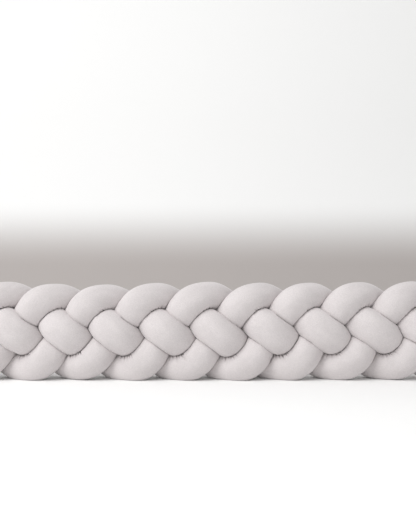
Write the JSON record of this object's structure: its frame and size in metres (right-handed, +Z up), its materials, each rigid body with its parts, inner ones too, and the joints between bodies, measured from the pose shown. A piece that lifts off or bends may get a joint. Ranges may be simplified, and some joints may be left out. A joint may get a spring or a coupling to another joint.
{
  "type": "braided crib bumper",
  "caption": "Flat braid of stuffed soft-pile cloth tubes that stands on its lower edge as a soft bumper along the side of a crib.",
  "frame": {"origin": "middle of the braid's length and thickness, on the surface that its lower edge stands on", "axes": "+X along the braid, +Y through its thickness from the front to the back, +Z up"},
  "size_m": [1, 0.087, 0.1623],
  "materials": {
    "cloth": "matte soft pile, light warm grey"
  },
  "bodies": {
    "root": {"strand_1": "cloth", "strand_2": "cloth", "strand_3": "cloth", "strand_4": "cloth"}
  },
  "joints": []
}
